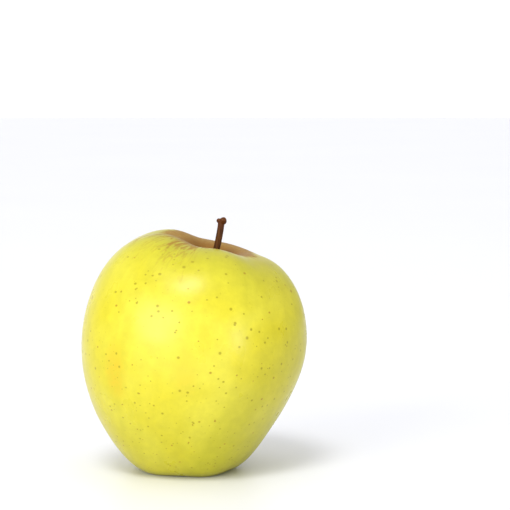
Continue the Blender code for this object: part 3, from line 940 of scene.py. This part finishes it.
    roughness = add("MapRange", russet, 0.0, 1.0, finish.gloss_roughness, finish.russet_roughness)
    smear_width = 0.011
    smears = add("TexNoise", here, 1.0 / smear_width, 3.0, 0.5)
    smears = add("MapRange", smears, 0.3, 0.7, -0.05, 0.05)
    roughness = add("Math ADD", roughness, smears)

    # The wax is pitted like fine orange peel, and the russet is rough like cork
    pit_spacing = 0.0008
    peel = add("TexNoise", here, 1.0 / pit_spacing, 2.0, 0.5)
    cork_over_peel = 3.0
    relief = add("Math MULTIPLY_ADD", add("Math MULTIPLY", grain, russet), cork_over_peel, peel)
    pit_depth = 0.00004
    bump = add("Bump", 0.35, pit_depth, inputs={"Height": relief})

    return fill_shader(material, {
        "Base Color": skin,
        "Roughness": roughness,
        "Normal": bump,
        "IOR": 1.45,
        "Specular IOR Level": 0.34,
        "Coat Weight": 0.03,
        "Coat Roughness": 0.30,
        "Sheen Weight": 0.02,
        "Sheen Roughness": 0.35,
    })


def bark_material(finish, stem_end):
    """Thin smooth bark of a fruit's stem: dark red-brown, streaked along its length, with a dull gloss."""
    material, add = new_material("woody_fruit_stem")
    here = add("TexCoord").outputs["Object"]
    drawn_out = add("VectorMath MULTIPLY", here, (1.0, 1.0, 0.12))
    streak_width = 0.0006
    streaks = add("TexNoise", drawn_out, 1.0 / streak_width, 4.0, 0.6)
    streaks = add("MapRange", streaks, 0.35, 0.65, 0.0, 1.0)
    bark = add("Mix RGBA", streaks, finish.bark_dark, finish.bark)
    from_end = add("VectorMath DISTANCE", here, stem_end)
    at_knob = add("MapRange SMOOTHSTEP", from_end, 0.0045, 0.0015, 0.0, 0.7)
    bark = add("Mix RGBA", at_knob, bark, finish.bark_red)
    speck_spacing = 0.0011
    specks = add("TexVoronoi", here, 1.0 / speck_spacing)
    specks = add("MapRange", specks, 0.22, 0.12, 0.0, 0.5)
    bark = add("Mix RGBA", specks, bark, finish.scar)
    fibre_width = 0.00025
    fine = add("TexNoise", drawn_out, 1.0 / fibre_width, 3.0, 0.6)
    fibre_height = 0.00004
    bump = add("Bump", 0.6, fibre_height, inputs={"Height": fine})
    roughness = add("MapRange", streaks, 0.0, 1.0, finish.roughness + 0.12, finish.roughness)
    return fill_shader(material, {
        "Base Color": bark,
        "Roughness": roughness,
        "Normal": bump,
        "IOR": 1.48,
        "Specular IOR Level": 0.22,
    })


def sepal_material(finish):
    """Dry leaf: matt and brittle, dark in its hollows and pale where felt is left on its ridges."""
    material, add = new_material("dry_sepal_leaf")
    here = add("TexCoord").outputs["Object"]
    blotch_width = 0.0016
    blotches = add("TexNoise", here, 1.0 / blotch_width, 4.0, 0.6)
    blotches = add("MapRange", blotches, 0.35, 0.65, 0.0, 1.0)
    leaf = add("Mix RGBA", blotches, finish.leaf_dark, finish.leaf)
    hairs = add("VectorMath MULTIPLY", here, (1.0, 1.0, 0.2))
    hair_width = 0.00022
    hairs = add("TexNoise", hairs, 1.0 / hair_width, 2.0, 0.5)
    felt = add("MapRange", hairs, 0.52, 0.70, 0.0, 0.65)
    leaf = add("Mix RGBA", felt, leaf, finish.felt)
    hair_height = 0.00008
    bump = add("Bump", 0.8, hair_height, inputs={"Height": hairs})
    return fill_shader(material, {
        "Base Color": leaf,
        "Roughness": 0.86,
        "Normal": bump,
        "IOR": 1.45,
        "Sheen Weight": 0.25,
        "Sheen Roughness": 0.5,
    })


def floor_material(stage):
    """Matt white board, a little blue from its brightener, with the unevenness that rolled paint leaves."""
    material, add = new_material("matt_white_board")
    here = add("TexCoord").outputs["Object"]
    roller_width = 0.30
    rolled = add("TexNoise", here, 1.0 / roller_width, 2.0, 0.5)
    rolled = add("MapRange", rolled, 0.3, 0.7, 0.985, 1.0)
    white = add("Mix RGBA", 1.0, stage.floor_colour, rolled, blend_type="MULTIPLY")
    return fill_shader(material, {"Base Color": white, "Roughness": 0.42})


def add_soft_box(name, middle, size, power, aim):
    """A square area light that faces the point it is aimed at."""
    lamp = bpy.data.lights.new(name, "AREA")
    lamp.size = size
    lamp.energy = power
    box = new_object(name, lamp)
    box.location = middle
    box.rotation_euler = (Vector(aim) - Vector(middle)).to_track_quat("-Z", "Y").to_euler()


def check_fit(obj, node):
    """Raises an error if the piece's box isn't the box of the solid that it stands for."""
    corners = [vertex.co for vertex in obj.data.vertices]
    low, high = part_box(node)
    for axis in range(3):
        lowest = min(corner[axis] for corner in corners)
        highest = max(corner[axis] for corner in corners)
        if max(abs(lowest - low[axis]), abs(highest - high[axis])) > FIT_TOLERANCE:
            raise RuntimeError(f"{obj.name} doesn't fit {node}: {lowest:.5f} to {highest:.5f} on axis {axis}")


class FRUIT_OT_make_skin(bpy.types.Operator):
    """Make the fruit's skin, with its lobes, cavity and basin"""

    bl_idname = "whole_fruit.make_skin"
    bl_label = "Make the skin"

    def execute(self, context):
        fruit = context.scene.fruit_sizes
        material = skin_material(context.scene.skin_finish, fruit)
        section = section_curve(fruit)
        sizes = labelled(fruit, Section=section, Material=material)
        skin = new_object("fruit_skin")
        add_tree(skin, fruit_tree(sizes), sizes)
        make_plain(skin, material)
        bpy.data.objects.remove(section)
        check_fit(skin, "fruit")
        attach(skin, "root")
        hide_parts("fruit")
        return {"FINISHED"}


class FRUIT_OT_scatter_pores(bpy.types.Operator):
    """Scatter the pores over the skin"""

    bl_idname = "whole_fruit.scatter_pores"
    bl_label = "Scatter the pores"

    def execute(self, context):
        fruit = context.scene.fruit_sizes
        skin = bpy.data.objects["fruit_skin"]
        material = skin.data.materials[0]
        axis = axis_point(fruit, fruit.shoulder_height)
        sizes = labelled(context.scene.pore_sizes, Axis=Vector((axis.x, axis.y, 0.0)), Material=material)
        pores = new_object("skin_pores", skin.data.copy())
        add_tree(pores, pore_tree(sizes), sizes)
        make_plain(pores, material)
        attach(pores, "root")
        return {"FINISHED"}


class FRUIT_OT_make_stem(bpy.types.Operator):
    """Make the stem with its bark, knob, bud and scar"""

    bl_idname = "whole_fruit.make_stem"
    bl_label = "Make the stem"

    def execute(self, context):
        fruit = context.scene.fruit_sizes
        stem_sizes = context.scene.stem_sizes
        floor = axis_point(fruit, fruit.shoulder_height - fruit.cavity_depth)
        root = floor + Vector((0.0, 0.0, stem_sizes.root_lift))
        material = bark_material(context.scene.bark_finish, root + Vector(stem_sizes.end))
        sizes = labelled(stem_sizes, Material=material)
        sizes["Root place"] = root
        stem = new_object("woody_stem")
        add_tree(stem, stem_form_tree(sizes), sizes)
        one_skin = stem.modifiers.new("one_skin", "REMESH")
        one_skin.mode = "VOXEL"
        one_skin.voxel_size = stem_sizes.grain
        soften = stem.modifiers.new("soften", "SMOOTH")
        soften.factor = 0.5
        soften.iterations = 4
        add_tree(stem, bark_tree(sizes), sizes)
        make_plain(stem, material)
        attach(stem, "root")
        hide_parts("stem")
        return {"FINISHED"}


class FRUIT_OT_make_calyx(bpy.types.Operator):
    """Make the dry calyx in the basin under the fruit"""

    bl_idname = "whole_fruit.make_calyx"
    bl_label = "Make the calyx"

    def execute(self, context):
        fruit = context.scene.fruit_sizes
        calyx_sizes = context.scene.calyx_sizes
        roof = axis_point(fruit, fruit.basin_depth)
        middle = roof - Vector((0.0, 0.0, calyx_sizes.cup_gap + 0.5 * calyx_sizes.cup_thickness))
        material = sepal_material(context.scene.sepal_finish)
        sizes = labelled(calyx_sizes, Material=material)
        sizes["Cup place"] = middle
        calyx = new_object("dry_calyx")
        add_tree(calyx, calyx_tree(sizes), sizes)
        make_plain(calyx, material)
        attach(calyx, "root")
        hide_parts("calyx")
        return {"FINISHED"}


class FRUIT_OT_set_stage(bpy.types.Operator):
    """Set the floor, the surround, the soft boxes and the camera"""

    bl_idname = "whole_fruit.set_stage"
    bl_label = "Set the stage"

    def execute(self, context):
        stage = context.scene.stage_settings
        half = 0.5 * stage.floor_size
        floor_mesh = bpy.data.meshes.new("studio_floor")
        corners = [(-half, -half, 0.0), (half, -half, 0.0), (half, half, 0.0), (-half, half, 0.0)]
        floor_mesh.from_pydata(corners, [], [(0, 1, 2, 3)])
        floor_mesh.materials.append(floor_material(stage))
        new_object("studio_floor", floor_mesh)

        middle = 0.5 * (Vector(CAD_BOX[0]) + Vector(CAD_BOX[1]))
        add_soft_box("key_soft_box", stage.key_place, stage.key_size, stage.key_power, middle)
        add_soft_box("window_soft_box", stage.window_place, stage.window_size, stage.window_power, middle)
        lamp = bpy.data.lights.new("overhead_light", "SUN")
        lamp.energy = stage.overhead_strength
        lamp.angle = stage.overhead_width
        overhead = new_object("overhead_light", lamp)
        overhead.rotation_euler = (stage.overhead_tilt, -stage.overhead_side, 0.0)

        # The surround: six sides, each with its brightness. The one behind is dimmer on the right and high up
        world = bpy.data.worlds.new("bright_surround")
        world.use_nodes = True
        context.scene.world = world
        add = functools.partial(add_node, world.node_tree)
        outwards = add("SeparateXYZ", add("TexCoord").outputs["Generated"])
        back = add(
            "MapRange", outwards.outputs["X"], 0.13, 0.40, stage.surround_back, stage.surround_back_right
        )
        back = add("MapRange", outwards.outputs["Z"], 0.10, 0.35, back, stage.surround_back_high)
        sides = {
            "X": (stage.surround_left, stage.surround_right),
            "Y": (stage.surround_front, back),
            "Z": (stage.surround_above, stage.surround_above),
        }
        # A direction takes the brightness of three sides, in shares that are its parts squared
        glow = 0.0
        for axis, (before, after) in sides.items():
            part = outwards.outputs[axis]
            side = add("MapRange", part, -0.02, 0.02, before, after)
            squared = add("Math MULTIPLY", part, part)
            glow = add("Math MULTIPLY_ADD", squared, side, glow)
        background = world.node_tree.nodes["Background"].inputs
        feed(world.node_tree, background["Strength"], glow)
        feed(world.node_tree, background["Color"], (1.0, 1.0, 1.0, 1.0))

        lens = bpy.data.cameras.new("picture_camera")
        lens.lens = stage.camera_lens
        lens.sensor_width = 36.0
        camera = new_object("picture_camera", lens)
        camera.location = stage.camera
        camera.rotation_euler = (0.5 * math.pi - stage.camera_pitch, 0.0, 0.0)
        context.scene.camera = camera
        context.scene.view_settings.view_transform = "Standard"
        return {"FINISHED"}


class FRUIT_PT_panel(bpy.types.Panel):
    """The operators in the order in which they run"""

    bl_idname = "FRUIT_PT_panel"
    bl_label = "Whole yellow fruit"
    bl_space_type = "VIEW_3D"
    bl_region_type = "UI"
    bl_category = "Fruit"

    def draw(self, context):
        for operator in OPERATORS:
            self.layout.operator(operator.bl_idname)


SETTINGS = {
    "fruit_sizes": FruitSizes,
    "skin_finish": SkinFinish,
    "pore_sizes": PoreSizes,
    "stem_sizes": StemSizes,
    "bark_finish": BarkFinish,
    "calyx_sizes": CalyxSizes,
    "sepal_finish": SepalFinish,
    "stage_settings": StageSettings,
}
OPERATORS = (
    FRUIT_OT_make_skin,
    FRUIT_OT_scatter_pores,
    FRUIT_OT_make_stem,
    FRUIT_OT_make_calyx,
    FRUIT_OT_set_stage,
)


def register():
    """Makes the settings and the operators known to Blender."""
    for name, group in SETTINGS.items():
        bpy.utils.register_class(group)
        setattr(bpy.types.Scene, name, PointerProperty(type=group))
    for operator in OPERATORS:
        bpy.utils.register_class(operator)
    bpy.utils.register_class(FRUIT_PT_panel)


def unregister():
    """Takes them out again."""
    bpy.utils.unregister_class(FRUIT_PT_panel)
    for operator in reversed(OPERATORS):
        bpy.utils.unregister_class(operator)
    for name, group in SETTINGS.items():
        delattr(bpy.types.Scene, name)
        bpy.utils.unregister_class(group)


def main():
    """Makes the pieces and the stage."""
    register()
    bpy.ops.whole_fruit.make_skin()
    bpy.ops.whole_fruit.scatter_pores()
    bpy.ops.whole_fruit.make_stem()
    bpy.ops.whole_fruit.make_calyx()
    bpy.ops.whole_fruit.set_stage()


if __name__ == "__main__":
    main()
